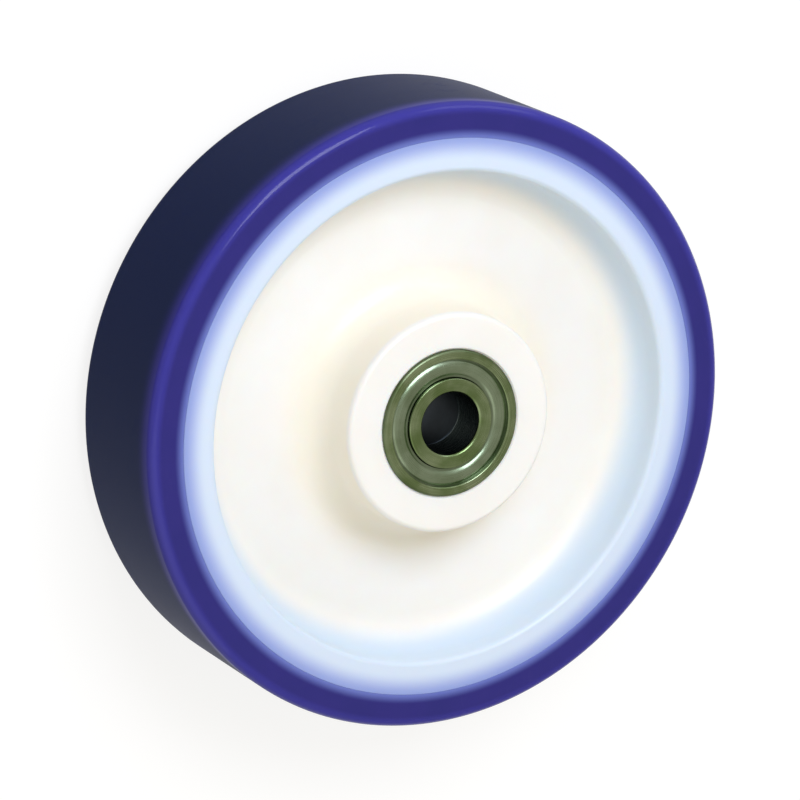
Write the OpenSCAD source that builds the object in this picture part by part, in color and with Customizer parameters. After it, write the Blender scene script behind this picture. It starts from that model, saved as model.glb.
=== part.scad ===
// Polyurethane-tyred trolley wheel with a one-piece plastic core and two shielded ball bearings.
// The wheel lies on its hub end. Its spin axis is Z, and its middle plane is z = 0.

/* [Wheel] */
// Outside diameter over the tread
wheel_d = 200; // [180:1:240]
// Width of the tread, which is also the width of the rim
tread_w = 50; // [44:1:58]
// Rounding of the tread's two edges
tread_edge_r = 3.2; // [1:0.1:5]
// Thickness of the tyre at its sides, measured outwards from the rim
tyre_t = 11; // [8:0.5:15]
// Length of the hub over the outer faces of the two bearings
hub_len = 60; // [54:1:80]

/* [Tyre anchorage] */
// Distance between the middles of the two dovetail grooves that lock the tyre to the rim
anchor_gap = 22; // [14:1:28]
// Width of a groove at the rim's surface
anchor_w = 6; // [4:0.5:9]
// Depth of a groove
anchor_depth = 3; // [1:0.5:4.5]
// How much a groove widens on each side on the way to its floor
anchor_undercut = 1; // [0.5:0.1:1.5]

/* [Core] */
// Width of the rim's side face, measured inwards from the tyre
rim_t = 10.5; // [8:0.5:14]
// Thickness of the web between rim and hub
web_t = 18; // [10:0.5:24]
// Diameter of the hub's end face
hub_d = 70; // [60:1:84]
// Draft of the rim's and hub's walls, in degrees
draft = 3; // [1:0.5:5]
// Fillet between the rim's wall and the web
rim_fillet = 11; // [4:0.5:12]
// Fillet between the hub's wall and the web
hub_fillet = 10; // [4:0.5:12]
// Rounding of the rim's inner edge and of the hub's outer edge
core_edge_r = 1.6; // [0.5:0.1:3]
// How far each bearing stands out of the hub's end face
bearing_proud = 0.5; // [0.2:0.1:1.5]
// Width of the step behind each bearing, which stops its outer ring
seat_step = 3; // [1.5:0.1:4]
// Lead-in chamfer at the mouth of each bearing seat
seat_lead = 0.6; // [0.2:0.1:1]

/* [Spacer] */
// Outside diameter of the tube between the two inner rings
spacer_od = 26.5; // [23:0.5:28]
// Clearance of the tube round the axle, on each side
spacer_play = 0.3; // [0.1:0.1:0.8]
// Chamfer at the ends of the tube
spacer_chamfer = 0.5; // [0.1:0.1:0.8]

/* [Bearing rings] */
// Bore of the bearings, which is the size of the axle
bearing_bore = 20; // [18:0.5:21]
// Outside diameter of the bearings and of their seats in the hub
bearing_od = 47; // [46:0.5:52]
// Width of a bearing
bearing_w = 14; // [13:0.5:16]
// Rounding of a ring's large corners, at the bore and at the outside
ring_edge_r = 1; // [0.4:0.1:1.2]
// Rounding of a ring's small corners, beside the shield
ring_small_r = 0.4; // [0.2:0.1:0.6]
// Height of the inner ring's land over the bottom of its raceway
inner_land_h = 1.66; // [1.2:0.01:2]
// Height of the outer ring's land over the bottom of its raceway
outer_land_h = 1.46; // [1:0.01:1.8]

/* [Balls and cage] */
// Diameter of a ball
ball_d = 7.938; // [7.4:0.001:8.1]
// Number of balls in a bearing
ball_n = 8; // [6:1:8]
// Radius of a raceway's section, as a multiple of the ball's radius
race_ratio = 1.04; // [1.02:0.01:1.08]
// Play between a ball and each raceway
race_play = 0.04; // [0.02:0.01:0.08]
// Thickness of the cage's pressed sheet
cage_t = 0.6; // [0.4:0.05:0.8]
// Width of the cage's band, from its inside to its outside
cage_w = 2.9; // [2.4:0.1:3.2]
// Play between a ball and its pocket
pocket_play = 0.12; // [0.05:0.01:0.2]
// Diameter of a cage rivet
rivet_d = 1.2; // [0.8:0.1:1.4]
// Diameter of a rivet's head
rivet_head_d = 2.1; // [1.8:0.1:2.6]
// Height of a rivet's head
rivet_head_h = 0.45; // [0.3:0.05:0.6]

/* [Shields] */
// Thickness of a shield's pressed sheet
shield_t = 0.35; // [0.25:0.05:0.4]
// Width of the step in the outer ring that a shield lies on, measured outwards from the land
shield_step = 1.1; // [0.8:0.05:1.4]
// Depth of that step below the bearing's face
shield_seat_depth = 1.45; // [1.35:0.05:1.7]
// How far a shield's edge reaches under the lip over the step
crimp = 0.3; // [0.1:0.05:0.4]
// Clearance round a shield's crimped edge
crimp_play = 0.04; // [0.02:0.01:0.08]
// Depth of a shield's raised ring below the bearing's face
shield_sink = 0.45; // [0.3:0.05:0.6]
// Width of a shield's flat outer edge, with the part under the lip
shield_edge_w = 0.7; // [0.6:0.05:1]
// Width of a shield's flat inner edge
shield_lip_w = 0.7; // [0.5:0.05:1]
// Radial run of each slope beside the raised ring
shield_slope = 1.2; // [1:0.05:1.4]
// Radius of the bends at the foot of each slope, at the middle of the sheet
shield_bend = 0.8; // [0.6:0.05:1]
// Radius of the bends at a shield's crown, at the middle of the sheet
shield_crown = 3.4; // [2:0.2:3.6]
// Gap between a shield and the inner ring
shield_gap = 0.25; // [0.15:0.05:0.4]

/* [Hidden] */
$fn = 96;
// A corner's arc cuts into its two walls by this much, so that it crosses them cleanly
bite = 0.004;

// Places that more than one piece takes
wheel_r = wheel_d / 2;
rim_r = wheel_r - tyre_t;
rim_half = tread_w / 2;
mouth_r = rim_r - rim_t;
web_half = web_t / 2;
hub_half = hub_len / 2 - bearing_proud;
seat_z = hub_len / 2 - bearing_w;
seat_r = bearing_od / 2;
bearing_z = hub_len / 2 - bearing_w / 2;
bearing_half = bearing_w / 2;
axle_r = bearing_bore / 2;

// The bearing's inner geometry
ball_r = ball_d / 2;
pitch_r = (axle_r + seat_r) / 2;
race_r = ball_r * race_ratio;
inner_race_floor = pitch_r - ball_r - race_play;
outer_race_floor = pitch_r + ball_r + race_play;
inner_land_r = inner_race_floor + inner_land_h;
outer_land_r = outer_race_floor - outer_land_h;
pocket_r = ball_r + pocket_play;
shield_seat_r = outer_land_r + shield_step;
shield_floor = bearing_half - shield_seat_depth;
shield_top = bearing_half - shield_sink;

balls = [for (i = [1:ball_n]) str("ball_", i)];
bearing_parts = concat(["outer_ring", "inner_ring", "outer_shield", "inner_shield",
    "cage_outer_half", "cage_inner_half", "cage_rivets"], balls);
sides = ["front", "rear"];

function unit(angle) = [cos(angle), sin(angle)];

// The patch between a corner and the arc that rounds it. The corner's two walls leave it at the
// angles first and second, less than 180 degrees apart. Added, the patch is a fillet, and taken
// away, it rounds an edge. It reaches past both walls, so that no two edges lie on each other.
module corner(at, first, second, r, overlap = undef) {
    half = (second - first) / 2;
    middle = unit(first + half);
    run = r / tan(half);
    past = is_undef(overlap) ? r / 4 : overlap;
    translate(at) difference() {
        polygon([
            middle * (r / sin(half)),
            unit(second) * run + unit(second + 90) * past,
            -middle * (past / sin(half)),
            unit(first) * run + unit(first - 90) * past
        ]);
        translate(middle * ((r - bite) / sin(half))) circle(r);
    }
}

// A half section and its mirror image across the middle plane
module both_halves() {
    children();
    mirror([0, 1]) children();
}

// The dovetail grooves of the rim, which the tyre fills. They start a little outside the rim.
module anchor_section() {
    past = 1;
    for (middle = [-anchor_gap / 2, anchor_gap / 2]) translate([rim_r, middle]) polygon([
        [past, -anchor_w / 2],
        [past, anchor_w / 2],
        [0, anchor_w / 2],
        [-anchor_depth, anchor_w / 2 + anchor_undercut],
        [-anchor_depth, -anchor_w / 2 - anchor_undercut],
        [0, -anchor_w / 2]
    ]);
}

module tyre() {
    color("#37308a") rotate_extrude() {
        difference() {
            translate([rim_r, -rim_half]) square([tyre_t, tread_w]);
            both_halves() corner([wheel_r, rim_half], 180, 270, tread_edge_r);
        }
        anchor_section();
    }
}

// The hollow between hub and rim on one side: its walls lean back by the draft, and its two
// bottom corners are filled by the fillets.
module recess_section() {
    depth = rim_half - web_half;
    rise = hub_half - web_half;
    clear = 1;
    hub_foot_r = hub_d / 2 + rise * tan(draft);
    rim_foot_r = mouth_r - depth * tan(draft);
    difference() {
        polygon([
            [hub_foot_r, web_half],
            [rim_foot_r, web_half],
            [mouth_r, rim_half],
            [mouth_r, hub_half + clear],
            [hub_d / 2 - clear * tan(draft), hub_half + clear]
        ]);
        corner([hub_foot_r, web_half], 0, 90 + draft, min(hub_fillet, rise / 2));
        corner([rim_foot_r, web_half], 90 - draft, 180, min(rim_fillet, depth * 0.75));
    }
}

module wheel_core() {
    color("#fbfaf4") rotate_extrude() difference() {
        union() {
            translate([seat_r - seat_step, -hub_half]) square([mouth_r - seat_r + seat_step, hub_half * 2]);
            translate([mouth_r, -rim_half]) square([rim_t, tread_w]);
        }
        anchor_section();
        both_halves() {
            recess_section();
            translate([seat_r - seat_step, seat_z]) square([seat_step, hub_half - seat_z]);
            polygon([
                [seat_r, hub_half - seat_lead],
                [seat_r + seat_lead, hub_half],
                [seat_r, hub_half]
            ]);
            corner([hub_d / 2, hub_half], 180, 270 + draft, core_edge_r);
            corner([mouth_r, rim_half], 270 - draft, 360, core_edge_r);
        }
    }
}

module spacer_tube() {
    inside = axle_r + spacer_play;
    outside = spacer_od / 2;
    color("#8d9094") rotate_extrude() polygon([
        [inside + spacer_chamfer, -seat_z],
        [outside - spacer_chamfer, -seat_z],
        [outside, -seat_z + spacer_chamfer],
        [outside, seat_z - spacer_chamfer],
        [outside - spacer_chamfer, seat_z],
        [inside + spacer_chamfer, seat_z],
        [inside, seat_z - spacer_chamfer],
        [inside, -seat_z + spacer_chamfer]
    ]);
}

// One bearing's pieces, about its own middle at the origin, with its outer side towards +Z

module inner_ring() {
    color("#9aa08e") rotate_extrude() difference() {
        translate([axle_r, -bearing_half]) square([inner_land_r - axle_r, bearing_w]);
        translate([inner_race_floor + race_r, 0]) circle(race_r);
        both_halves() {
            corner([axle_r, bearing_half], 270, 360, ring_edge_r);
            corner([inner_land_r, bearing_half], 180, 270, ring_small_r);
        }
    }
}

module outer_ring() {
    slot_w = shield_step + crimp + crimp_play;
    color("#8f9684") rotate_extrude() difference() {
        translate([outer_land_r, -bearing_half]) square([seat_r - outer_land_r, bearing_w]);
        translate([outer_race_floor - race_r, 0]) circle(race_r);
        both_halves() {
            translate([outer_land_r, shield_floor]) square([shield_step, shield_seat_depth]);
            translate([outer_land_r, shield_floor]) square([slot_w, shield_t + crimp_play]);
            corner([seat_r, bearing_half], 180, 270, ring_edge_r);
            corner([shield_seat_r, bearing_half], 270, 360, ring_small_r);
        }
    }
}

// A shield is pressed from sheet: a flat edge crimped under the recess's lip, a raised ring, and
// a flat inner edge just clear of the inner ring.
module shield() {
    lean = atan2(shield_top - shield_floor - shield_t, shield_slope);
    tight = shield_bend - shield_t / 2;
    wide = shield_bend + shield_t / 2;
    edge_r = shield_seat_r + crimp;
    lip_r = inner_land_r + shield_gap;
    ring_out = edge_r - shield_edge_w - shield_slope;
    ring_in = lip_r + shield_lip_w + shield_slope;
    // The crown's two bends meet at most halfway across it
    crown = min(shield_crown, (ring_out - ring_in) / 2 / tan(lean / 2) - shield_t / 2);
    // The sheet's lower side meets each slope further out or in than its upper side
    shift = shield_t * tan(lean / 2);
    low = shield_floor;
    high = shield_top - shield_t;
    color("#a4ab98") rotate_extrude() difference() {
        union() {
            polygon([
                [edge_r, low],
                [edge_r, low + shield_t],
                [ring_out + shield_slope, low + shield_t],
                [ring_out, high + shield_t],
                [ring_in, high + shield_t],
                [ring_in - shield_slope, low + shield_t],
                [lip_r, low + shield_t],
                [lip_r, low],
                [ring_in - shield_slope + shift, low],
                [ring_in + shift, high],
                [ring_out - shift, high],
                [ring_out + shield_slope - shift, low]
            ]);
            corner([ring_out + shield_slope, low + shield_t], 0, 180 - lean, tight);
            corner([ring_in - shield_slope, low + shield_t], lean, 180, tight);
            corner([ring_out - shift, high], 180, 360 - lean, crown - shield_t / 2, shield_t / 2);
            corner([ring_in + shift, high], 180 + lean, 360, crown - shield_t / 2, shield_t / 2);
        }
        corner([ring_out, high + shield_t], 180, 360 - lean, crown + shield_t / 2);
        corner([ring_in, high + shield_t], 180 + lean, 360, crown + shield_t / 2);
        corner([ring_out + shield_slope - shift, low], 0, 180 - lean, wide);
        corner([ring_in - shield_slope + shift, low], lean, 180, wide);
    }
}

// Puts its children at each ball's place, or half a step further round for the rivets
module round_the_pitch(step = 0) {
    for (i = [0:ball_n - 1]) rotate([0, 0, (i + step) * 360 / ball_n]) translate([pitch_r, 0, 0]) children();
}

module ball(number) {
    color("#c9cdd2") rotate([0, 0, (number - 1) * 360 / ball_n]) translate([pitch_r, 0, 0]) sphere(ball_r);
}

// Half of the ribbon cage: a flat band on the middle plane that bulges over each ball
module cage_half() {
    reach = pocket_r + cage_t;
    inside = pitch_r - cage_w / 2;
    outside = pitch_r + cage_w / 2;
    color("#b08d57") difference() {
        intersection() {
            union() {
                cylinder(h = cage_t, r = outside);
                round_the_pitch() sphere(reach);
            }
            difference() {
                cylinder(h = reach + 1, r = outside);
                translate([0, 0, -1]) cylinder(h = reach + 3, r = inside);
            }
        }
        round_the_pitch() sphere(pocket_r);
        round_the_pitch(0.5) translate([0, 0, -1]) cylinder(h = cage_t + 2, r = rivet_d / 2);
    }
}

// A rivet's shank fills its hole through both halves, and its domed heads seat on them
module rivet() {
    head_r = rivet_head_d / 2;
    dome_r = (head_r * head_r + rivet_head_h * rivet_head_h) / (2 * rivet_head_h);
    rotate_extrude() {
        translate([0, -cage_t]) square([rivet_d / 2, cage_t * 2]);
        both_halves() intersection() {
            translate([0, cage_t + rivet_head_h - dome_r]) circle(dome_r);
            translate([0, cage_t]) square([head_r * 2, rivet_head_h * 2]);
        }
    }
}

module cage_rivets() {
    color("#9c7b48") round_the_pitch(0.5) rivet();
}

// Sets one of a bearing's pieces at the wheel's front or rear. The rear bearing is the front one
// turned over, so that its outer side faces out of the other end of the hub.
module in_place(side) {
    if (side == "front") translate([0, 0, bearing_z]) children();
    if (side == "rear") translate([0, 0, -bearing_z]) mirror([0, 0, 1]) children();
}

module bearing_part(part) {
    if (part == "outer_ring") outer_ring();
    if (part == "inner_ring") inner_ring();
    if (part == "outer_shield") shield();
    if (part == "inner_shield") mirror([0, 0, 1]) shield();
    if (part == "cage_outer_half") cage_half();
    if (part == "cage_inner_half") mirror([0, 0, 1]) cage_half();
    if (part == "cage_rivets") cage_rivets();
    for (i = [1:ball_n]) if (part == balls[i - 1]) ball(i);
}

tyre();
wheel_core();
spacer_tube();
for (side = sides) for (part = bearing_parts)
    in_place(side) bearing_part(part);
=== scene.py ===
"""A polyurethane-tyred trolley wheel with a nylon core and two shielded ball bearings.

The wheel lies on its hub end, with its spin axis along Z. Each turned piece is a profile in the half
plane of radius and height, in millimetres, carried once round the axis. Meshes are in metres.
"""

import logging
from collections.abc import Sequence
from dataclasses import dataclass, field
from enum import Enum

import bpy
import numpy as np
from mathutils import Matrix, Vector

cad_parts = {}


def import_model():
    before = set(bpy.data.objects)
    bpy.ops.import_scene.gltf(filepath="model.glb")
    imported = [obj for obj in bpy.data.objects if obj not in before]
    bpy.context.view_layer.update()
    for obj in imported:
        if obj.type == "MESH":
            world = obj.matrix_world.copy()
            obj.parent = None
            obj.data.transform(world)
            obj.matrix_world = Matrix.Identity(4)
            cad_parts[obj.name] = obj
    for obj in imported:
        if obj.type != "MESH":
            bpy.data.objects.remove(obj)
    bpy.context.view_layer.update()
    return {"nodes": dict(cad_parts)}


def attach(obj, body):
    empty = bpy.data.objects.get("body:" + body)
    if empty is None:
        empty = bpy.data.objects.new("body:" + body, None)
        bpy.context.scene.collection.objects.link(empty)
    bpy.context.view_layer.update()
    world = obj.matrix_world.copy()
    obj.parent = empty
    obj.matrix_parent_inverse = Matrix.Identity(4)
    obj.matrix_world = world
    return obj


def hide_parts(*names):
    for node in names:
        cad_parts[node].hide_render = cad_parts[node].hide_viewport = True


LOG = logging.getLogger("trolley_wheel")
MM = 0.001
PICTURE_SIDE = 800
# Steps round the axis, where a piece has no number of its own
TURNS = 288
# A straight side's extra points stand this far from its ends, in mm, or at this share of a short side
HOLD = 0.15
HOLD_SHARE = 0.25
# Neighbours on an outline that are closer than this, in mm, are one point
SAME_POINT = 1e-5

Colour = tuple[float, float, float]
Point = tuple[float, float]
Span = tuple[float, float]
Material = bpy.types.Material
Tree = bpy.types.NodeTree
Node = bpy.types.Node
Socket = bpy.types.NodeSocket
Fed = Socket | float | Colour


def paint(red: int, green: int, blue: int) -> Colour:
    """A colour written as 8-bit display values, in the linear values that a shader takes.

    Args:
        red: Display value from 0 to 255.
        green: Display value from 0 to 255.
        blue: Display value from 0 to 255.

    Returns:
        The three linear values.
    """
    shown = np.array([red, green, blue]) / 255
    linear = np.where(shown <= 0.04045, shown / 12.92, ((shown + 0.055) / 1.055) ** 2.4)
    return tuple(float(value) for value in linear)


class Side(Enum):
    """The two ends of the hub. The value is the direction of the end along Z."""

    FRONT = 1
    REAR = -1

    @property
    def word(self) -> str:
        """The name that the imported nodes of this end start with."""
        return self.name.lower()


# Turned surfaces


@dataclass(frozen=True)
class Corner:
    """A corner of a turned profile: its radius, its height and the radius of its rounding, in mm."""

    r: float
    z: float
    rounding: float = 0.08


@dataclass(frozen=True)
class Surface:
    """Vertices in metres and four-sided faces that point outwards."""

    vertices: np.ndarray
    faces: np.ndarray


def rounded(corners: Sequence[Corner], closed: bool = True, steps: int = 9) -> np.ndarray:
    """The outline through the corners, each rounded by an arc that touches its two sides.

    With unit vectors a and b from corner P to its neighbours, m their bisector and h half the angle
    between them, the arc of radius q has its centre at P + m q / sin h and touches the sides at
    P + a q / tan h and P + b q / tan h. Its points are the two radius vectors, each times the sine
    of its share of the arc over the sine of the whole. Every straight side also gets a point close
    to each of its ends, so that smooth shading leaves the side flat.

    Args:
        corners: The corners in order.
        closed: Whether the last corner joins the first. An open outline keeps its ends as they are.
        steps: Points in each arc.

    Returns:
        The outline's points, one row of radius and height for each.
    """
    p = np.array([(c.r, c.z) for c in corners])
    q = np.array([c.rounding for c in corners])[:, None]
    a, b = np.roll(p, 1, axis=0) - p, np.roll(p, -1, axis=0) - p
    a /= np.linalg.norm(a, axis=1, keepdims=True)
    b /= np.linalg.norm(b, axis=1, keepdims=True)
    m = a + b
    m /= np.linalg.norm(m, axis=1, keepdims=True)
    sin_h = np.abs(a[:, :1] * m[:, 1:] - a[:, 1:] * m[:, :1])
    cos_h = (a * m).sum(axis=1, keepdims=True)
    centre = p + m * q / sin_h
    first = p + a * q * cos_h / sin_h - centre
    last = p + b * q * cos_h / sin_h - centre
    sweep = (np.pi - 2 * np.arctan2(sin_h, cos_h))[:, None]
    t = np.linspace(0, 1, steps)[None, :, None]
    arcs = centre[:, None] + (
        np.sin((1 - t) * sweep) * first[:, None] + np.sin(t * sweep) * last[:, None]
    ) / np.sin(sweep)
    if not closed:
        arcs[0], arcs[-1] = p[0], p[-1]
    start, end = arcs[:, -1], np.roll(arcs[:, 0], -1, axis=0)
    length = np.linalg.norm(end - start, axis=1, keepdims=True)
    hold = (end - start) * np.minimum(HOLD / np.maximum(length, SAME_POINT), HOLD_SHARE)
    blocks = np.concatenate([arcs, (start + hold)[:, None], (end - hold)[:, None]], axis=1)
    points = blocks.reshape(-1, 2)
    if not closed:
        points = points[:-2]
    step = np.linalg.norm(points - np.roll(points, 1, axis=0), axis=1)
    return points[step > SAME_POINT]


def arc(centre: Point, radius: float, start: float, end: float, steps: int = 25) -> np.ndarray:
    """Points of a circle: the centre plus the radius times the cosine and sine of each angle.

    Args:
        centre: Radius and height of the circle's middle.
        radius: The circle's own radius.
        start: First angle, in degrees.
        end: Last angle, in degrees.
        steps: Number of points.

    Returns:
        One row of radius and height for each point.
    """
    angle = np.radians(np.linspace(start, end, steps))
    return np.array(centre) + radius * np.stack([np.cos(angle), np.sin(angle)], axis=1)


def turned(outline: np.ndarray, turns: int = TURNS) -> Surface:
    """A closed outline carried round the Z axis.

    Point j of the outline at turn i is (r cos u, r sin u, z) with u = 2 pi i / turns. The grid closes
    on itself both ways, so it has no seam and no pole. An outline that runs clockwise is reversed
    first, which makes every face point outwards.

    Args:
        outline: Rows of radius and height, in mm.
        turns: Steps round the axis.

    Returns:
        The surface.
    """
    r, z = outline.T
    if (r * np.roll(z, -1) - np.roll(r, -1) * z).sum() < 0:
        r, z = r[::-1], z[::-1]
    u = np.arange(turns) * (2 * np.pi / turns)
    heights = np.broadcast_to(z, (turns, len(z)))
    grid = np.stack([np.outer(np.cos(u), r), np.outer(np.sin(u), r), heights], axis=-1)
    i, j = np.meshgrid(np.arange(turns), np.arange(len(r)), indexing="ij")
    next_i, next_j = (i + 1) % turns, (j + 1) % len(r)
    faces = np.stack(
        [i * len(r) + j, next_i * len(r) + j, next_i * len(r) + next_j, i * len(r) + next_j], axis=-1
    )
    return Surface(grid.reshape(-1, 3) * MM, faces.reshape(-1, 4))


def mesh_object(name: str, surface: Surface, material: Material) -> bpy.types.Object:
    """A smooth-shaded object at the origin that carries the surface and the material.

    Args:
        name: Name of the object and its mesh.
        surface: Vertices and faces.
        material: The finish of the whole surface.

    Returns:
        The new object, linked to the scene.
    """
    mesh = bpy.data.meshes.new(name)
    mesh.vertices.add(len(surface.vertices))
    mesh.vertices.foreach_set("co", surface.vertices.astype(np.float32).ravel())
    count, sides = surface.faces.shape
    mesh.loops.add(surface.faces.size)
    mesh.loops.foreach_set("vertex_index", surface.faces.astype(np.int32).ravel())
    mesh.polygons.add(count)
    mesh.polygons.foreach_set("loop_start", np.arange(count, dtype=np.int32) * sides)
    mesh.update(calc_edges=True)
    mesh.polygons.foreach_set("use_smooth", np.ones(count, dtype=bool))
    mesh.materials.append(material)
    mesh.validate()
    piece = bpy.data.objects.new(name, mesh)
    bpy.context.scene.collection.objects.link(piece)
    return piece


# Shader building


class Graph:
    """A thin hand on a node tree: adds nodes, sets their sockets and joins them."""

    def __init__(self, tree: Tree) -> None:
        """Takes the tree to build in."""
        self.tree = tree

    def add(self, kind: str, feeds: dict[str | int, Fed] | None = None, **settings: object) -> Node:
        """Adds a node.

        Args:
            kind: Blender's identifier of the node.
            feeds: For each socket, by name or number, a value or the output that feeds it.
            settings: Attributes of the node, such as operation.

        Returns:
            The node.
        """
        node = self.tree.nodes.new(kind)
        for key, value in settings.items():
            setattr(node, key, value)
        for key, value in (feeds or {}).items():
            self.feed(node.inputs[key], value)
        return node

    def feed(self, socket: Socket, value: Fed) -> None:
        """Joins an output to a socket, or sets the socket's own value.

        Args:
            socket: The input.
            value: Another node's output, or a number, vector or colour.
        """
        if isinstance(value, Socket):
            self.tree.links.new(value, socket)
        elif isinstance(value, tuple) and socket.type == "RGBA":
            socket.default_value = (*value, 1.0)
        else:
            socket.default_value = value

    def math(self, operation: str, *values: Fed) -> Socket:
        """The output of a Math node on these values or outputs."""
        return self.add("ShaderNodeMath", dict(enumerate(values)), operation=operation).outputs[0]

    def plus(self, value: Fed, other: Fed, share: float) -> Socket:
        """The output of value + other * share."""
        return self.math("ADD", value, self.math("MULTIPLY", other, share))

    def ramp(self, value: Fed, over: Span, start: float = 0.0, end: float = 1.0) -> Socket:
        """A smooth step that follows a value.

        Args:
            value: The output to follow.
            over: The values where the step begins and ends. The second may be the smaller one.
            start: Result before the step.
            end: Result after the step.

        Returns:
            The output.
        """
        feeds = {"Value": value, "From Min": over[0], "From Max": over[1], "To Min": start, "To Max": end}
        return self.add("ShaderNodeMapRange", feeds, interpolation_type="SMOOTHSTEP").outputs[0]

    def mix(self, share: Fed, first: Fed, second: Fed) -> Socket:
        """The mix of two colours.

        Args:
            share: Share of the second colour, from 0 to 1.
            first: The colour where the share is 0.
            second: The colour where the share is 1.

        Returns:
            The output.
        """
        node = self.add("ShaderNodeMix", data_type="RGBA")
        for name, value in (("Factor_Float", share), ("A_Color", first), ("B_Color", second)):
            self.feed(next(s for s in node.inputs if s.identifier == name), value)
        return next(s for s in node.outputs if s.identifier == "Result_Color")

    def group(self, effect: "Effect", **feeds: Fed) -> Node:
        """Places a shared effect.

        Args:
            effect: The effect.
            feeds: Values or outputs for its inputs.

        Returns:
            The group's node.
        """
        return self.add("ShaderNodeGroup", feeds, node_tree=effect.tree())


FLOAT, COLOUR, VECTOR = "NodeSocketFloat", "NodeSocketColor", "NodeSocketVector"
# Noise runs from 0 to 1 about this level, and a mottle's change lies between these two
NOISE_MIDDLE = 0.5
MOTTLE_STEP = (0.3, 0.7)
# A scuff's noise is turned and drawn out, and its lines at the middle level are cut this thin
SCUFF_TURN = (0.4, 0.3, 0.7)
SCUFF_STRETCH = (1.0, 0.16, 1.0)
SCUFF_WIDTH = 0.012
# The patches of scuffs are this much larger, and are kept over a level that the share brings down
SCUFF_PATCH = 4.0
SCUFF_LEVEL = 0.75
SCUFF_LOWERING = 0.5


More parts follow.
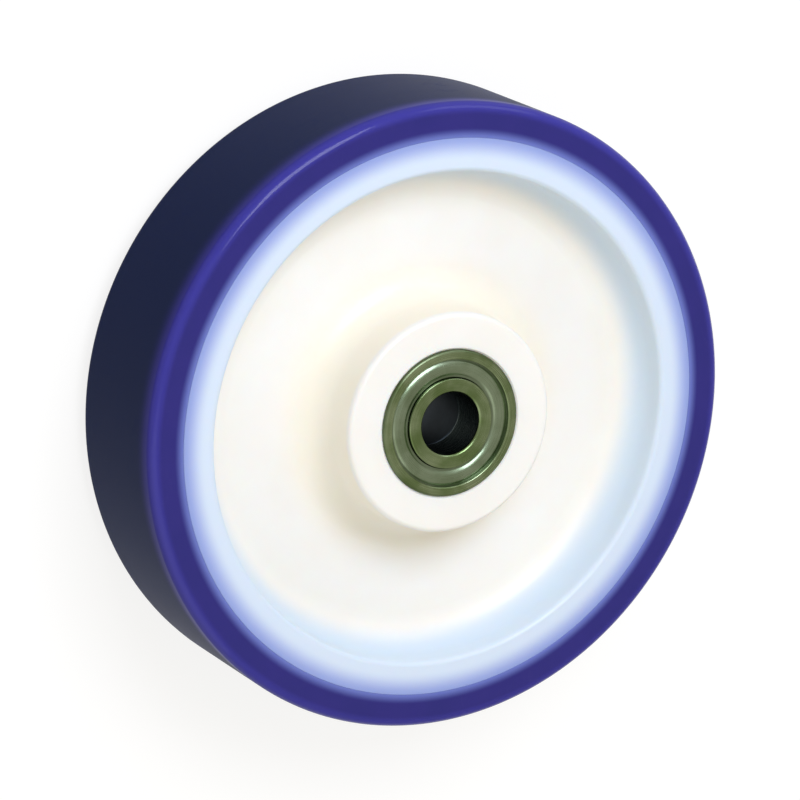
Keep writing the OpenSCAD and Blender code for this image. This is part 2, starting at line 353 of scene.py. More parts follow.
class Effect(Enum):
    """The shader effects that more than one finish uses, each built once as a node group."""

    PLACE = "place_on_wheel"
    TURNED_LINES = "turned_lines"
    MOTTLE = "mottle"
    HANDLING = "handling_marks"

    def tree(self) -> Tree:
        """The effect's node group, built at its first use."""
        found = bpy.data.node_groups.get(self.value)
        return found if found else getattr(self, f"_{self.value}")()

    def _start(
        self, inputs: dict[str, float | Colour], outputs: dict[str, str]
    ) -> tuple[Graph, Node, Node]:
        """Opens a new group with its sockets.

        Args:
            inputs: For each input its default, a number or a colour.
            outputs: For each output its socket type.

        Returns:
            A Graph on its tree, the inputs' node and the outputs' node.
        """
        tree = bpy.data.node_groups.new(self.value, "ShaderNodeTree")
        for name, default in inputs.items():
            coloured = isinstance(default, tuple)
            kind = COLOUR if coloured else FLOAT
            socket = tree.interface.new_socket(name, in_out="INPUT", socket_type=kind)
            socket.default_value = (*default, 1.0) if coloured else default
        for name, kind in outputs.items():
            tree.interface.new_socket(name, in_out="OUTPUT", socket_type=kind)
        graph = Graph(tree)
        return graph, graph.add("NodeGroupInput"), graph.add("NodeGroupOutput")

    def _place_on_wheel(self) -> Tree:
        """Radius from the axis and height along it, both in mm, and the unit vector outwards.

        Returns:
            The group.
        """
        graph, _, out = self._start({}, {"Radius": FLOAT, "Height": FLOAT, "Outward": VECTOR})
        place = graph.add("ShaderNodeTexCoord").outputs["Object"]
        kind = "ShaderNodeVectorMath"
        flat = graph.add(kind, {0: place, 1: (1, 1, 0)}, operation="MULTIPLY").outputs[0]
        reach = graph.add(kind, {0: flat}, operation="LENGTH").outputs["Value"]
        outward = graph.add(kind, {0: flat}, operation="NORMALIZE").outputs[0]
        height = graph.add("ShaderNodeSeparateXYZ", {0: place}).outputs["Z"]
        graph.feed(out.inputs["Radius"], graph.math("MULTIPLY", reach, 1 / MM))
        graph.feed(out.inputs["Height"], graph.math("MULTIPLY", height, 1 / MM))
        graph.feed(out.inputs["Outward"], outward)
        return graph.tree

    def _turned_lines(self) -> Tree:
        """Fine lines round the axis, as a lathe, a grinding wheel or a turned mould leaves them.

        The value is 4D noise over the radius and the height, each times Lines, and over the outward
        unit vector times Waver, so the lines hardly change along their length and have no seam.

        Returns:
            The group.
        """
        graph, into, out = self._start({"Lines": 6.0, "Waver": 0.8}, {"Value": FLOAT})
        place = graph.group(Effect.PLACE)
        across = graph.math("MULTIPLY", place.outputs["Radius"], into.outputs["Lines"])
        along = graph.math("MULTIPLY", place.outputs["Height"], into.outputs["Lines"])
        outward = graph.add("ShaderNodeSeparateXYZ", {0: place.outputs["Outward"]})
        cosine = graph.math("MULTIPLY", outward.outputs["X"], into.outputs["Waver"])
        sine = graph.math("MULTIPLY", outward.outputs["Y"], into.outputs["Waver"])
        vector = graph.add("ShaderNodeCombineXYZ", {"X": across, "Y": cosine, "Z": sine}).outputs[0]
        feeds = {"Vector": vector, "W": along, "Scale": 1.0, "Detail": 3.0}
        noise = graph.add("ShaderNodeTexNoise", feeds, noise_dimensions="4D")
        graph.feed(out.inputs["Value"], noise.outputs[0])
        return graph.tree

    def _mottle(self) -> Tree:
        """Soft cloudy change between two colours, in patches of Size mm, and its mask.

        Returns:
            The group.
        """
        graph, into, out = self._start(
            {"Size": 8.0, "Main": (0.5, 0.5, 0.5), "Other": (0.4, 0.4, 0.4)}, {"Color": COLOUR, "Mask": FLOAT}
        )
        place = graph.add("ShaderNodeTexCoord").outputs["Object"]
        scale = graph.math("DIVIDE", 1 / MM, into.outputs["Size"])
        noise = graph.add("ShaderNodeTexNoise", {"Vector": place, "Scale": scale, "Detail": 4.0})
        mask = graph.ramp(noise.outputs[0], MOTTLE_STEP)
        graph.feed(out.inputs["Color"], graph.mix(mask, into.outputs["Main"], into.outputs["Other"]))
        graph.feed(out.inputs["Mask"], mask)
        return graph.tree

    def _handling_marks(self) -> Tree:
        """A mask of thin scuffs that handling leaves.

        The scuffs are the middle lines of a noise stretched along one way, kept only in patches.

        Returns:
            The group.
        """
        graph, into, out = self._start({"Size": 6.0, "Share": 0.3}, {"Mask": FLOAT})
        place = graph.add("ShaderNodeTexCoord").outputs["Object"]
        scale = graph.math("DIVIDE", 1 / MM, into.outputs["Size"])
        feeds = {"Vector": place, "Rotation": SCUFF_TURN, "Scale": SCUFF_STRETCH}
        stretched = graph.add("ShaderNodeMapping", feeds).outputs[0]
        lines = graph.add("ShaderNodeTexNoise", {"Vector": stretched, "Scale": scale, "Detail": 6.0})
        crossing = graph.math("ABSOLUTE", graph.math("SUBTRACT", lines.outputs[0], NOISE_MIDDLE))
        thin = graph.ramp(crossing, (0.0, SCUFF_WIDTH), 1.0, 0.0)
        wide = graph.math("DIVIDE", scale, SCUFF_PATCH)
        patch = graph.add("ShaderNodeTexNoise", {"Vector": place, "Scale": wide}).outputs[0]
        lowered = graph.math("MULTIPLY", into.outputs["Share"], SCUFF_LOWERING)
        kept = graph.math("GREATER_THAN", patch, graph.math("SUBTRACT", SCUFF_LEVEL, lowered))
        graph.feed(out.inputs["Mask"], graph.math("MULTIPLY", thin, kept))
        return graph.tree


@dataclass(frozen=True)
class Finish:
    """What every finish has: its name, the record's slot, its main colour and its roughness.

    Clouds is the size of its mottle, in mm. Lines and waver are the inputs of its turned lines,
    contrast is how far they change the roughness and relief is their full height, in mm. The
    scuffs have a size in mm, a share of the surface and a roughness that they add.
    """

    name: str
    slot: str
    colour: Colour
    roughness: float
    clouds: float = 9.0
    lines: float = 7.0
    waver: float = 1.5
    contrast: float = 0.16
    relief: float = 0.003
    scuff_size: float = 2.5
    scuff_share: float = 0.3
    scuff_dulling: float = 0.1

    def material(self) -> Material:
        """The finish's material, built at its first use.

        Returns:
            The material.
        """
        found = bpy.data.materials.get(self.name)
        if found:
            return found
        material = bpy.data.materials.new(self.name)
        material.use_nodes = True
        material.node_tree.nodes.clear()
        graph = Graph(material.node_tree)
        shader = graph.add("ShaderNodeBsdfPrincipled")
        out = graph.add("ShaderNodeOutputMaterial")
        graph.feed(out.inputs["Surface"], shader.outputs["BSDF"])
        self.dress(graph, shader)
        return material

    def dress(self, graph: Graph, shader: Node) -> None:
        """Feeds the shader. Each kind of finish does this in its own way.

        Args:
            graph: The material's graph.
            shader: The material's shader.
        """
        raise NotImplementedError(self.name)

    def clouded(self, graph: Graph, other: Colour) -> Socket:
        """The finish's colour with clouds of another one."""
        return graph.group(Effect.MOTTLE, Size=self.clouds, Main=self.colour, Other=other).outputs["Color"]

    def turned_lines(self, graph: Graph) -> Socket:
        """The height of the finish's turned lines, from 0 to 1."""
        return graph.group(Effect.TURNED_LINES, Lines=self.lines, Waver=self.waver).outputs["Value"]

    def scuffs(self, graph: Graph) -> Socket:
        """The mask of the finish's handling marks."""
        return graph.group(Effect.HANDLING, Size=self.scuff_size, Share=self.scuff_share).outputs["Mask"]

    def uneven(self, graph: Graph, gloss: Fed, lines: Socket, scuffs: Socket) -> Socket:
        """The roughness gloss + (lines - 0.5) * contrast + scuffs * scuff_dulling.

        Args:
            graph: The material's graph.
            gloss: The roughness to start from.
            lines: The height of the turned lines.
            scuffs: The mask of the handling marks.

        Returns:
            The output.
        """
        lined = graph.plus(gloss, graph.math("SUBTRACT", lines, NOISE_MIDDLE), self.contrast)
        return graph.plus(lined, scuffs, self.scuff_dulling)

    def raise_bumps(self, graph: Graph, shader: Node, height: Socket) -> None:
        """Lets a height from 0 to 1, over the finish's relief, move the surface's normal.

        Args:
            graph: The material's graph.
            shader: The shader whose normal it feeds.
            height: The output with the height.
        """
        feeds = {"Strength": 1.0, "Distance": self.relief * MM, "Height": height}
        graph.feed(shader.inputs["Normal"], graph.add("ShaderNodeBump", feeds).outputs["Normal"])


@dataclass(frozen=True)
class SoftPlastic(Finish):
    """A plastic that light enters: the share that does, how deep in mm, and each colour's reach."""

    inner_light: float = 0.25
    light_depth: float = 5.0
    light_reach: Colour = (1.0, 0.6, 0.4)

    def let_light_in(self, shader: Node) -> None:
        """Sets the shader's plain subsurface sockets.

        Args:
            shader: The material's shader.
        """
        shader.inputs["Subsurface Weight"].default_value = self.inner_light
        shader.inputs["Subsurface Radius"].default_value = self.light_reach
        shader.inputs["Subsurface Scale"].default_value = self.light_depth * MM


@dataclass(frozen=True)
class CastPolyurethane(SoftPlastic):
    """Violet-blue cast elastomer: moulded gloss on the side faces, a finer and duller turned tread.

    The tread's dark navy is painted shade. Its front part shades into the side's colour by the height,
    as painted light through the front edge, while its rear keeps the painted shade up to the rounding.
    Near its outer edge the side carries a painted highlight, and it is pale at the bond to the rim.
    Heights and radii are in mm.
    """

    # The tread's dark navy is painted shade
    shaded_tread_colour: Colour = (0.005, 0.014, 0.075)
    deep_colour: Colour = (0.028, 0.025, 0.2)
    # Painted highlight on the rounding of the side's outer edge
    edge_highlight_colour: Colour = (0.052, 0.048, 0.38)
    bond_colour: Colour = paint(112, 126, 206)
    scuff_colour: Colour = paint(96, 94, 170)
    # Heights where the tread's painted shade gives way to the side's colour: painted light through the front
    # edge, painted shade kept at the rear
    front_light_heights: Span = (13.0, 23.0)
    rear_shade_heights: Span = (-22.8, -24.8)
    skin_heights: Span = (22.2, 24.0)
    edge_highlight_radii: Span = (96.0, 99.0)
    bond_radii: Span = (88.6, 92.2)
    edge_highlight_share: float = 0.8
    scuff_tint: float = 0.02
    tread_dulling: float = 0.12
    side_relief: float = 0.2
    skin_gloss: float = 0.38
    skin_roughness: float = 0.1
    specular: float = 0.03
    clouds: float = 14.0
    lines: float = 5.0
    waver: float = 1.2
    contrast: float = 0.12
    relief: float = 0.02
    scuff_size: float = 9.0
    scuff_share: float = 0.35
    scuff_dulling: float = 0.08
    inner_light: float = 0.3
    light_reach: Colour = (0.4, 0.4, 1.0)

    def dress(self, graph: Graph, shader: Node) -> None:
        """Mixes the tread's painted shade, the side, the edge's painted highlight and the bond by
        height and radius, and gives the side its skin.

        Args:
            graph: The material's graph.
            shader: The material's shader.
        """
        place = graph.group(Effect.PLACE)
        radius, height = place.outputs["Radius"], place.outputs["Height"]
        # painted light and shade on the tread: its front shades into the side's colour, its rear stays dark
        # up to the rounding
        front = graph.ramp(height, self.front_light_heights)
        rear = graph.ramp(height, self.rear_shade_heights)
        side = graph.math("MAXIMUM", graph.math("MULTIPLY", front, front), rear)
        # painted highlight on the rounding of the side's outer edge
        edge = graph.ramp(radius, self.edge_highlight_radii, 0.0, self.edge_highlight_share)
        face = graph.mix(edge, self.clouded(graph, self.deep_colour), self.edge_highlight_colour)
        colour = graph.mix(side, self.shaded_tread_colour, face)
        bond = graph.ramp(radius, self.bond_radii, 1.0, 0.0)
        colour = graph.mix(bond, colour, self.bond_colour)
        scuffs = self.scuffs(graph)
        worn = graph.mix(graph.math("MULTIPLY", scuffs, self.scuff_tint), colour, self.scuff_colour)
        graph.feed(shader.inputs["Base Color"], worn)
        lines = self.turned_lines(graph)
        gloss = graph.ramp(side, (0.0, 1.0), self.roughness + self.tread_dulling, self.roughness)
        graph.feed(shader.inputs["Roughness"], self.uneven(graph, gloss, lines, scuffs))
        skin = graph.ramp(graph.math("ABSOLUTE", height), self.skin_heights, 0.0, self.skin_gloss)
        graph.feed(shader.inputs["Coat Weight"], skin)
        shader.inputs["Coat Roughness"].default_value = self.skin_roughness
        shader.inputs["Specular IOR Level"].default_value = self.specular
        self.let_light_in(shader)
        relief = graph.ramp(side, (0.0, 1.0), 1.0, self.side_relief)
        self.raise_bumps(graph, shader, graph.math("MULTIPLY", lines, relief))


@dataclass(frozen=True)
class MouldedNylon(SoftPlastic):
    """Natural white nylon with a soft gloss and a painted blue reflection where the rim meets the tyre.

    In the corners of the hollow, beside the hub and below the rim, a warm painted shade lies on it.
    The rim's wall has a painted cool shade. Heights and radii are in mm.
    """

    shade: Colour = (0.915, 0.905, 0.89)
    # Warm painted shade for the corners of the hollow
    corner_shade_cream: Colour = paint(252, 240, 213)
    # Painted reflection of the tyre's blue on the rim's side faces, strong by the tyre and pale further in
    tyre_blue_reflection: Colour = paint(150, 167, 230)
    pale_tyre_reflection: Colour = paint(215, 230, 255)
    # Painted cool shade on the rim's inner wall
    wall_cool_shade: Colour = paint(210, 227, 246)
    face_heights: Span = (22.0, 24.0)
    hub_shade_heights: Span = (26.5, 28.5)
    hub_shade_radii: Span = (38.0, 53.0)
    web_shade_radii: Span = (58.5, 68.5)
    wall_shade_radii: Span = (70.5, 78.1)
    pale_reflection_radii: Span = (77.5, 81.0)
    blue_reflection_radii: Span = (82.0, 89.0)
    hub_shade_share: float = 0.5
    web_shade_share: float = 0.15
    clouds: float = 22.0
    lines: float = 2.2
    waver: float = 2.0
    contrast: float = 0.08
    relief: float = 0.012
    scuff_size: float = 7.0
    scuff_dulling: float = 0.12

    def dress(self, graph: Graph, shader: Node) -> None:
        """Paints warm shade into the hollow's corners, cool shade on the rim's wall and the tyre's blue
        reflection over the rim's side faces.

        Args:
            graph: The material's graph.
            shader: The material's shader.
        """
        place = graph.group(Effect.PLACE)
        radius, height = place.outputs["Radius"], graph.math("ABSOLUTE", place.outputs["Height"])
        # warm painted shade in the hollow's corners: beside the hub below its top, and on the web below the
        # rim
        by_hub = graph.ramp(radius, self.hub_shade_radii, self.hub_shade_share, 0.0)
        below_top = graph.ramp(height, self.hub_shade_heights, 1.0, 0.0)
        by_rim = graph.ramp(radius, self.web_shade_radii, 0.0, self.web_shade_share)
        painted_corner_shade = graph.math("MAXIMUM", graph.math("MULTIPLY", by_hub, below_top), by_rim)
        colour = graph.mix(painted_corner_shade, self.clouded(graph, self.shade), self.corner_shade_cream)
        # painted cool shade on the rim's inner wall
        colour = graph.mix(graph.ramp(radius, self.wall_shade_radii), colour, self.wall_cool_shade)
        on_face = graph.ramp(height, self.face_heights)
        # painted reflection of the tyre's blue over the rim's side faces
        for span, tyre_blue_reflection in ((self.pale_reflection_radii, self.pale_tyre_reflection), (self.blue_reflection_radii, self.tyre_blue_reflection)):
            share = graph.math("MULTIPLY", graph.ramp(radius, span), on_face)
            colour = graph.mix(share, colour, tyre_blue_reflection)
        graph.feed(shader.inputs["Base Color"], colour)
        lines = self.turned_lines(graph)
        rough = self.uneven(graph, self.roughness, lines, self.scuffs(graph))
        graph.feed(shader.inputs["Roughness"], rough)
        self.let_light_in(shader)
        self.raise_bumps(graph, shader, lines)


@dataclass(frozen=True)
class TurnedSteel(Finish):
    """Bearing steel with fine lines round the axis, in two close tones.

    Where its shade radii are set, painted shade makes the steel darker and duller inside the first
    and outside the second, each with its fade in mm and its share: beside a shield's lip and crimp
    and on a ring's outer edge, where shade and dark reflections fall. Where bore_r is set, the wall
    of a bore of that radius gets painted shade. Film is the share of a clear film of fresh lubricant
    over the steel.
    """

    tone: Colour = (0.3, 0.34, 0.26)
    streak_levels: Span = (0.62, 0.35)
    streak_gain: float = 2.5
    streak_shade: float = 0.7
    # Painted shade: the radii inside and outside which the steel is darker and duller
    painted_shade_r: Span | None = None
    painted_shade_fades: Span = (0.9, 0.4)
    painted_shade_shares: Span = (0.35, 0.55)
    painted_shade_colour: Colour = (0.05, 0.07, 0.03)
    painted_shade_dulling: float = 0.2
    bore_r: float = 0.0
    # Painted shade on the bore's wall: its fade past the bore, its share and its colour
    bore_shade_fade: Span = (0.04, 0.16)
    bore_shade_share: float = 0.85
    bore_shade_colour: Colour = (0.07, 0.09, 0.1)
    film: float = 0.0
    film_roughness: float = 0.14

    def painted_shade_share(self, graph: Graph) -> Socket:
        """The share of painted shade on the steel.

        Args:
            graph: The material's graph.

        Returns:
            The output.
        """
        radius = graph.group(Effect.PLACE).outputs["Radius"]
        (near, far), (near_fade, far_fade) = self.painted_shade_r, self.painted_shade_fades
        inside = graph.ramp(radius, (near - near_fade, near), self.painted_shade_shares[0], 0.0)
        outside = graph.ramp(radius, (far, far + far_fade), 0.0, self.painted_shade_shares[1])
        return graph.math("ADD", inside, outside)

    def dress(self, graph: Graph, shader: Node) -> None:
        """Lets the lines change the tone, the gloss and the surface, and lays on painted shade and film.

        Args:
            graph: The material's graph.
            shader: The material's shader.
        """
        lines = self.turned_lines(graph)
        darker = tuple(value * self.streak_shade for value in self.tone)
        streaks = graph.ramp(lines, self.streak_levels, 0.0, self.contrast * self.streak_gain)
        colour = graph.mix(streaks, self.clouded(graph, self.tone), darker)
        rough = self.uneven(graph, self.roughness, lines, self.scuffs(graph))
        # painted shade and dark reflection beside a shield's lip and crimp and on a ring's outer edge
        if self.painted_shade_r:
            painted_shade = self.painted_shade_share(graph)
            colour = graph.mix(painted_shade, colour, self.painted_shade_colour)
            rough = graph.plus(rough, painted_shade, self.painted_shade_dulling)
        # painted shade on the wall of the bore
        if self.bore_r:
            wall = tuple(self.bore_r + fade for fade in self.bore_shade_fade)
            bore = graph.ramp(graph.group(Effect.PLACE).outputs["Radius"], wall, self.bore_shade_share, 0.0)
            colour = graph.mix(bore, colour, self.bore_shade_colour)
        graph.feed(shader.inputs["Base Color"], colour)
        graph.feed(shader.inputs["Roughness"], rough)
        shader.inputs["Metallic"].default_value = 1.0
        shader.inputs["Coat Weight"].default_value = self.film
        shader.inputs["Coat Roughness"].default_value = self.film_roughness
        self.raise_bumps(graph, shader, lines)


TYRE_FINISH = CastPolyurethane("cast_polyurethane", "tyre_polyurethane", (0.031, 0.026, 0.212), 0.3)
CORE_FINISH = MouldedNylon("moulded_nylon", "core_nylon", (0.93, 0.93, 0.93), 0.34)
# Painted shade on each ring's outer edge and on the wall of its bore
RING_FINISH = TurnedSteel(
    "ground_ring_steel", "ring_steel", (0.34, 0.42, 0.27), 0.26, tone=(0.165, 0.24, 0.1),
    painted_shade_r=(5.0, 22.6), bore_r=10.0,
)
# Painted shade on each shield beside its lip and its crimp
SHIELD_FINISH = TurnedSteel(
    "pressed_shield_steel", "shield_steel", (0.28, 0.365, 0.26), 0.28, tone=(0.18, 0.25, 0.15), lines=3.5,
    contrast=0.1, painted_shade_r=(16.0, 19.6), film=0.9,
)
# The spacer's dark colour is painted shade from deep inside the bore
SPACER_FINISH = TurnedSteel(
    "bore_shade_tube_steel", "spacer_steel", (0.055, 0.072, 0.085), 0.45, tone=(0.04, 0.05, 0.06), lines=4.0,
)
CAGE_FINISH = TurnedSteel("dull_cage_steel", "cage_steel", (0.45, 0.43, 0.38), 0.42, lines=2.0)
RIVET_FINISH = TurnedSteel("headed_rivet_steel", "rivet_steel", (0.5, 0.48, 0.44), 0.36, lines=3.0)
BALL_FINISH = TurnedSteel(
    "polished_ball_steel", "ball_steel", (0.72, 0.73, 0.74), 0.08, lines=1.0, contrast=0.04,
)


# The wheel's sub-assemblies


class SubAssembly:
    """Shared steps of the wheel's sub-assemblies."""

    def place(
        self, name: str, outline: np.ndarray, finish: Finish, body: str, nodes: Sequence[str],
        turns: int = TURNS,
    ) -> bpy.types.Object:
        """Turns an outline into a finished piece on its body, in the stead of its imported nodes.

        Args:
            name: Name of the piece.
            outline: Rows of radius and height, in mm.
            finish: The piece's finish.
            body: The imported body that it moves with.
            nodes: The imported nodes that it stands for.
            turns: Steps round the axis.

        Returns:
            The piece.
        """
        piece = mesh_object(name, turned(outline, turns), finish.material())
        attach(piece, body)
        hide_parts(*nodes)
        LOG.info("%s: %d faces on body %s", name, len(piece.data.polygons), body)
        return piece


@dataclass
class Tyre(SubAssembly):
    """The cast tyre: tread, two side faces, and the dovetail ridges that lock it to the rim."""

    tread_r: float = 100.0
    rim_r: float = 89.0
    half_width: float = 25.0
    edge_rounding: float = 3.2
    lip_rounding: float = 0.12
    anchor_gap: float = 22.0
    anchor_width: float = 6.0
    anchor_depth: float = 3.0
    anchor_undercut: float = 1.0
    anchor_rounding: float = 0.3
    arc_steps: int = 13

    def anchor(self, middle: float) -> list[Corner]:
        """The four corners of one dovetail ridge, downwards from its upper foot.

        Args:
            middle: Height of the ridge's middle.

        Returns:
            The corners.
        """
        half = self.anchor_width / 2
        floor = self.rim_r - self.anchor_depth
        return [
            Corner(self.rim_r, middle + half),
            Corner(floor, middle + half + self.anchor_undercut, self.anchor_rounding),
            Corner(floor, middle - half - self.anchor_undercut, self.anchor_rounding),
            Corner(self.rim_r, middle - half),
        ]

    def outline(self) -> np.ndarray:
        """The tyre's closed outline, from the tread's lower edge upwards.

        Returns:
            Rows of radius and height.
        """
        top, gap = self.half_width, self.anchor_gap / 2
        return rounded([
            Corner(self.tread_r, -top, self.edge_rounding),
            Corner(self.tread_r, top, self.edge_rounding),
            Corner(self.rim_r, top, self.lip_rounding),
            *self.anchor(gap),
            *self.anchor(-gap),
            Corner(self.rim_r, -top, self.lip_rounding),
        ], steps=self.arc_steps)

    def build(self) -> None:
        """Makes the tyre."""
        self.place("polyurethane_tyre", self.outline(), TYRE_FINISH, "wheel", ["tyre"])


@dataclass
class WheelCore(SubAssembly):
    """The one-piece core: rim, web and hub, with a recess on each side and two bearing seats."""

    tyre: Tyre
    rim_width: float = 10.5
    web_half: float = 9.0
    hub_r: float = 35.0
    hub_half: float = 29.5
    draft: float = 3.0
    rim_fillet: float = 11.0
    hub_fillet: float = 10.0
    edge_rounding: float = 1.6
    seat_r: float = 23.5
    seat_z: float = 16.0
    step_width: float = 3.0
    step_rounding: float = 0.3
    lead: float = 0.6
    arc_steps: int = 11

    def front_corners(self) -> list[Corner]:
        """The corners of the front half, from the rim's outer edge inwards to the hub's bore.

        Returns:
            The corners.
        """
        top = self.tyre.half_width
        mouth = self.tyre.rim_r - self.rim_width
        lean = np.tan(np.radians(self.draft))
        return [
            Corner(self.tyre.rim_r, top, self.tyre.lip_rounding),
            Corner(mouth, top, self.edge_rounding),
            Corner(mouth - (top - self.web_half) * lean, self.web_half, self.rim_fillet),
            Corner(self.hub_r + (self.hub_half - self.web_half) * lean, self.web_half, self.hub_fillet),
            Corner(self.hub_r, self.hub_half, self.edge_rounding),
            Corner(self.seat_r + self.lead, self.hub_half),
            Corner(self.seat_r, self.hub_half - self.lead),
            Corner(self.seat_r, self.seat_z),
            Corner(self.seat_r - self.step_width, self.seat_z, self.step_rounding),
        ]

    def outline(self) -> np.ndarray:
        """The core's closed outline, with the grooves that hold the tyre's ridges.

        Returns:
            Rows of radius and height.
        """
        front = self.front_corners()
        rear = [Corner(c.r, -c.z, c.rounding) for c in reversed(front)]
        gap = self.tyre.anchor_gap / 2
        grooves = [*reversed(self.tyre.anchor(-gap)), *reversed(self.tyre.anchor(gap))]
        return rounded([*front, *rear, *grooves], steps=self.arc_steps)

    def build(self) -> None:
        """Makes the core."""
        self.place("nylon_core", self.outline(), CORE_FINISH, "wheel", ["wheel_core"])


@dataclass
class Spacer(SubAssembly):
    """The tube between the two inner rings."""

    inner_r: float = 10.3
    outer_r: float = 13.25
    half: float = 16.0
    chamfer: float = 0.5
    arc_steps: int = 5
    turns: int = 192

    def outline(self) -> np.ndarray:
        """The tube's closed outline, with a chamfer at each of its four edges.

        Returns:
            Rows of radius and height.
        """
        inside, outside, end, cut = self.inner_r, self.outer_r, self.half, self.chamfer
        return rounded([
            Corner(inside + cut, -end), Corner(outside - cut, -end), Corner(outside, -end + cut),
            Corner(outside, end - cut), Corner(outside - cut, end), Corner(inside + cut, end),
            Corner(inside, end - cut), Corner(inside, -end + cut),
        ], steps=self.arc_steps)

    def build(self) -> None:
        """Makes the tube."""
        self.place("spacer", self.outline(), SPACER_FINISH, "inner_set", ["spacer_tube"], self.turns)


@dataclass
class Bearing(SubAssembly):
    """A shielded deep-groove ball bearing. Its profiles are about its own middle, outer side up."""

    side: Side
    middle: float = 23.0
    half: float = 7.0
    bore_r: float = 10.0
    outer_r: float = 23.5
    ball_r: float = 3.969
    race_r: float = 4.12776
    race_play: float = 0.04
    inner_land: float = 14.401
    outer_land: float = 19.299
    large_rounding: float = 1.0
    small_rounding: float = 0.4
    step_rounding: float = 0.1
    slot_rounding: float = 0.06
    shield_step: float = 1.1
    shield_depth: float = 1.45
    sheet: float = 0.35
    crimp: float = 0.3
    crimp_play: float = 0.04
    sink: float = 0.45
    edge_width: float = 0.7
    lip_width: float = 0.7
    slope: float = 1.2
    bend: float = 0.8
    crown: float = 3.4
    shield_gap: float = 0.25

    @property
    def pitch_r(self) -> float:
        """Radius of the circle through the middles of the balls."""
        return (self.bore_r + self.outer_r) / 2

    @property
    def floor(self) -> float:
        """Height of the step that a shield lies on."""
        return self.half - self.shield_depth

    def groove(self, land: float, outwards: bool) -> np.ndarray:
        """The raceway's arc between its two crossings with a land, from the lower to the upper.

        Args:
            land: Radius of the land beside the groove.
            outwards: Whether the groove opens away from the axis.

        Returns:
            The arc's points.
        """
        reach = self.ball_r + self.race_play - self.race_r
        centre = self.pitch_r - reach if outwards else self.pitch_r + reach
        opening = np.degrees(np.arccos(abs(land - centre) / self.race_r))
        if outwards:
            return arc((centre, 0.0), self.race_r, 180 + opening, 180 - opening)
        return arc((centre, 0.0), self.race_r, -opening, opening)

    def inner_ring(self) -> np.ndarray:
        """The inner ring's outline: groove, two lands, two faces and the bore.

        Returns:
            Rows of radius and height.
        """
        groove = self.groove(self.inner_land, True)
        top, small, large = self.half, self.small_rounding, self.large_rounding
        body = rounded([
            Corner(*groove[-1]), Corner(self.inner_land, top, small), Corner(self.bore_r, top, large),
            Corner(self.bore_r, -top, large), Corner(self.inner_land, -top, small), Corner(*groove[0]),
        ], closed=False)
        return np.concatenate([body, groove[1:-1]])

    def outer_half(self) -> list[Corner]:
        """The outer ring's upper corners, from its land over the shield's step to its outside.

        Returns:
            The corners.
        """
        step_r = self.outer_land + self.shield_step
        slot_top = self.floor + self.sheet + self.crimp_play
        slot_r = step_r + self.crimp + self.crimp_play
        return [
            Corner(self.outer_land, self.floor, self.step_rounding),
            Corner(slot_r, self.floor, self.slot_rounding),
            Corner(slot_r, slot_top, self.slot_rounding),
            Corner(step_r, slot_top, self.step_rounding),
            Corner(step_r, self.half, self.small_rounding),
            Corner(self.outer_r, self.half, self.large_rounding),
        ]

    def outer_ring(self) -> np.ndarray:
        """The outer ring's outline: groove, lands, the steps and slots of both shields, the outside.

        Returns:
            Rows of radius and height.
        """
        groove = self.groove(self.outer_land, False)
        upper = self.outer_half()
        lower = [Corner(c.r, -c.z, c.rounding) for c in reversed(upper)]
        body = rounded([Corner(*groove[-1]), *upper, *lower, Corner(*groove[0])], closed=False)
        return np.concatenate([body, groove[1:-1]])

    def shield(self) -> np.ndarray:
        """A shield's outline.

        It is a sheet that rises from its crimped edge to a raised ring and falls to a flat lip. The
        lower line meets each slope further out or in by the sheet's thickness times the tangent of
        half the slope's lean.

        Returns:
            Rows of radius and height.
        """
        low, high, t = self.floor, self.half - self.sink - self.sheet, self.sheet
        lean = np.arctan2(high - low, self.slope)
        shift = t * np.tan(lean / 2)
        tight, wide = self.bend - t / 2, self.bend + t / 2
        under, over = self.crown - t / 2, self.crown + t / 2
        edge = self.outer_land + self.shield_step + self.crimp
        lip = self.inner_land + self.shield_gap
        out, into = edge - self.edge_width - self.slope, lip + self.lip_width + self.slope
        return rounded([
            Corner(edge, low), Corner(edge, low + t), Corner(out + self.slope, low + t, tight),
            Corner(out, high + t, over), Corner(into, high + t, over),
            Corner(into - self.slope, low + t, tight), Corner(lip, low + t), Corner(lip, low),
            Corner(into - self.slope + shift, low, wide), Corner(into + shift, high, under),
            Corner(out - shift, high, under), Corner(out + self.slope - shift, low, wide),
        ])

    def at_end(self, outline: np.ndarray, over: bool = False) -> np.ndarray:
        """Moves an outline to this bearing's end of the hub.

        Args:
            outline: Rows about the bearing's own middle.
            over: Whether the piece is turned over first, as the shield that faces into the hub.

        Returns:
            Rows in the wheel's frame.
        """
        r, z = outline.T
        return np.stack([r, self.side.value * (self.middle + (-z if over else z))], axis=1)

    def build(self) -> None:
        """Makes both rings and both shields."""
        word = self.side.word
        outer, inner = self.at_end(self.outer_ring()), self.at_end(self.inner_ring())
        self.place(f"{word}_outer_race", outer, RING_FINISH, "wheel", [f"{word}_outer_ring"])
        self.place(f"{word}_inner_race", inner, RING_FINISH, "inner_set", [f"{word}_inner_ring"])
        for where, over in (("outer", False), ("inner", True)):
            outline, node = self.at_end(self.shield(), over), f"{word}_{where}_shield"
            self.place(f"{word}_{where}_cover", outline, SHIELD_FINISH, "wheel", [node])


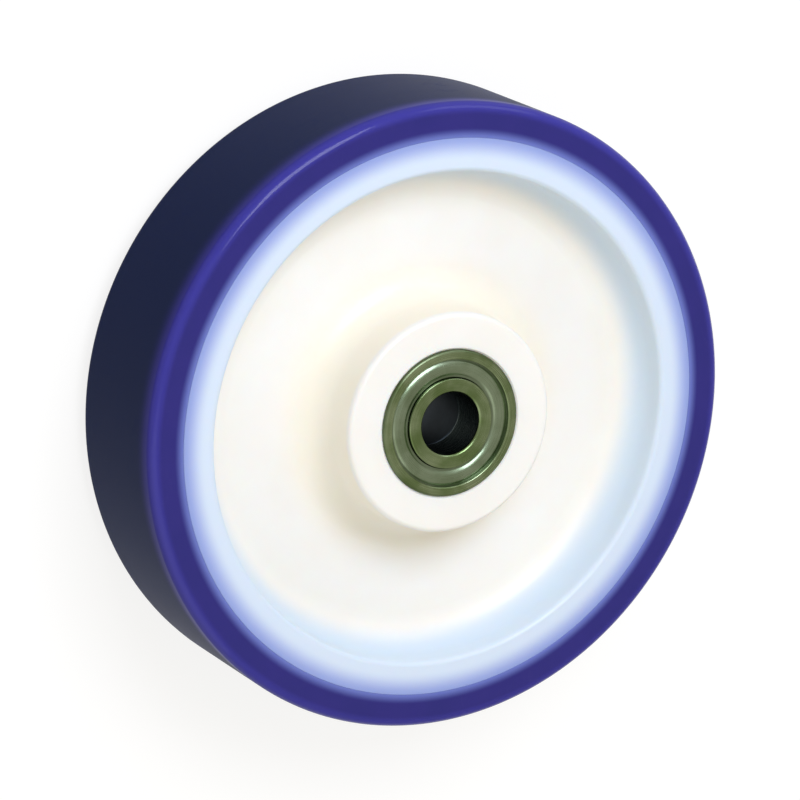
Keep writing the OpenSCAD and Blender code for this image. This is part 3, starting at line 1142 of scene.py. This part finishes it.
class KeptNodes:
    """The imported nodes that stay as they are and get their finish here: balls, cages and rivets."""

    FINISHES = {
        "ball": BALL_FINISH,
        "cage_outer": CAGE_FINISH,
        "cage_inner": CAGE_FINISH,
        "cage_rivets": RIVET_FINISH,
    }

    def __init__(self, nodes: dict[str, bpy.types.Object]) -> None:
        """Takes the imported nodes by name."""
        self.nodes = nodes

    def build(self) -> None:
        """Gives each kept node its finish."""
        for name, node in self.nodes.items():
            inner = name.partition("_")[2]
            found = next((f for start, f in self.FINISHES.items() if inner.startswith(start)), None)
            if found is None:
                continue
            for slot in node.material_slots:
                slot.material = found.material()
            LOG.info("%s: packed node with finish %s", name, found.name)


# The studio


@dataclass(frozen=True)
class View:
    """The photograph's viewing direction: towards the camera, and the picture's up and right.

    The distance and the clipping are in metres, the lens and the sensor in mm, and the centre is
    the pixel that shows the wheel's middle.
    """

    back: Vector = Vector((-0.4520, 0.2755, 0.8484))
    up: Vector = Vector((0.1295, 0.9613, -0.2432))
    distance: float = 1.5
    lens: float = 214.8
    sensor: float = 36.0
    clipping: Span = (0.05, 50.0)
    centre_px: Point = (405.5, 400.2)

    @property
    def right(self) -> Vector:
        """The picture's direction to the right."""
        return self.up.cross(self.back).normalized()

    def build(self) -> bpy.types.Object:
        """Makes the camera, aimed past the wheel's middle by a shift of a few pixels.

        Returns:
            The camera.
        """
        data = bpy.data.cameras.new("product_camera")
        data.lens, data.sensor_width = self.lens, self.sensor
        data.shift_x = (PICTURE_SIDE / 2 - self.centre_px[0]) / PICTURE_SIDE
        data.shift_y = (self.centre_px[1] - PICTURE_SIDE / 2) / PICTURE_SIDE
        data.clip_start, data.clip_end = self.clipping
        camera = bpy.data.objects.new("product_camera", data)
        bpy.context.scene.collection.objects.link(camera)
        back = self.back.normalized()
        up = back.cross(self.right).normalized()
        turn = Matrix((self.right, up, back)).transposed().to_4x4()
        camera.matrix_world = Matrix.Translation(back * self.distance) @ turn
        bpy.context.scene.camera = camera
        return camera


@dataclass(frozen=True)
class SoftBox:
    """A square studio lamp that looks at the wheel.

    Its level is the share of full light that it gives a surface facing it: at 1 a colour renders as
    it is written. A lamp of power P at distance d gives P / (pi d^2), and full light is pi, so P is
    the level times pi^2 d^2. Its azimuth from +X and its elevation over the floor are in degrees,
    its size and distance in metres.
    """

    name: str
    azimuth: float
    elevation: float
    level: float
    size: float
    distance: float = 1.2
    colour: Colour = (0.85, 0.89, 1.0)

    def build(self) -> bpy.types.Object:
        """Makes the lamp.

        Returns:
            The lamp.
        """
        data = bpy.data.lights.new(self.name, "AREA")
        data.shape, data.size, data.color = "SQUARE", self.size, self.colour
        data.energy = self.level * np.pi**2 * self.distance**2
        lamp = bpy.data.objects.new(self.name, data)
        bpy.context.scene.collection.objects.link(lamp)
        around, over = np.radians(self.azimuth), np.radians(self.elevation)
        direction = Vector((np.cos(over) * np.cos(around), np.cos(over) * np.sin(around), np.sin(over)))
        turn = direction.to_track_quat("Z", "Y").to_matrix().to_4x4()
        lamp.matrix_world = Matrix.Translation(direction * self.distance) @ turn
        return lamp


@dataclass
class Studio:
    """The pale floor, the lamps, the world and the camera. Lengths are in metres."""

    view: View = field(default_factory=View)
    floor_z: float = -0.030
    floor_half: float = 20.0
    floor_dim: Colour = (0.12, 0.12, 0.12)
    floor_lit: Colour = (0.24, 0.24, 0.24)
    floor_white: Colour = (1.0, 1.0, 1.0)
    floor_glow: float = 0.8
    lamps: tuple[SoftBox, ...] = (
        SoftBox("key_box", 94.0, 56.0, 0.62, 0.6),
        SoftBox("side_box", 52.0, 26.0, 0.11, 0.5),
        SoftBox("low_box", 222.0, 34.0, 0.22, 1.3, colour=(1.0, 0.97, 0.9)),
    )
    ambient: float = 0.53
    ambient_colour: Colour = (1.0, 0.935, 0.77)

    def floor_material(self) -> Material:
        """White to the camera and in reflections, with the object's shadow, and dim as a light source.

        Returns:
            The material.
        """
        material = bpy.data.materials.new("studio_floor")
        material.use_nodes = True
        material.node_tree.nodes.clear()
        graph = Graph(material.node_tree)
        path = graph.add("ShaderNodeLightPath")
        seen = graph.math("MAXIMUM", path.outputs["Is Camera Ray"], path.outputs["Is Glossy Ray"])
        seen = graph.math("MAXIMUM", seen, path.outputs["Is Transmission Ray"])
        dim = graph.add("ShaderNodeBsdfDiffuse", {"Color": self.floor_dim})
        lit = graph.add("ShaderNodeBsdfDiffuse", {"Color": self.floor_lit})
        glow = graph.add("ShaderNodeEmission", {"Color": self.floor_white, "Strength": self.floor_glow})
        white = graph.add("ShaderNodeAddShader", {0: lit.outputs[0], 1: glow.outputs[0]})
        both = graph.add("ShaderNodeMixShader", {0: seen, 1: dim.outputs[0], 2: white.outputs[0]})
        graph.feed(graph.add("ShaderNodeOutputMaterial").inputs["Surface"], both.outputs[0])
        return material

    def build(self) -> None:
        """Makes floor, lamps and world. The camera is the view's own."""
        half, z = self.floor_half, self.floor_z
        vertices = np.array([(-half, -half, z), (half, -half, z), (half, half, z), (-half, half, z)])
        floor = mesh_object("floor", Surface(vertices, np.array([[0, 1, 2, 3]])), self.floor_material())
        for lamp in self.lamps:
            lamp.build()
        world = bpy.data.worlds.new("studio_world")
        world.use_nodes = True
        background = next(n for n in world.node_tree.nodes if n.type == "BACKGROUND")
        background.inputs["Color"].default_value = (*self.ambient_colour, 1.0)
        background.inputs["Strength"].default_value = self.ambient
        bpy.context.scene.world = world
        bpy.context.scene.view_settings.view_transform = "Standard"


def main() -> None:
    """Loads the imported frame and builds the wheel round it."""
    logging.basicConfig(level=logging.INFO, format="%(name)s: %(message)s")
    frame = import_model()
    studio = Studio()
    studio.view.build()
    tyre = Tyre()
    bearings = [Bearing(Side.FRONT), Bearing(Side.REAR)]
    for part in (tyre, WheelCore(tyre), Spacer(), *bearings, KeptNodes(frame["nodes"])):
        part.build()
    studio.build()


if __name__ == "__main__":
    main()
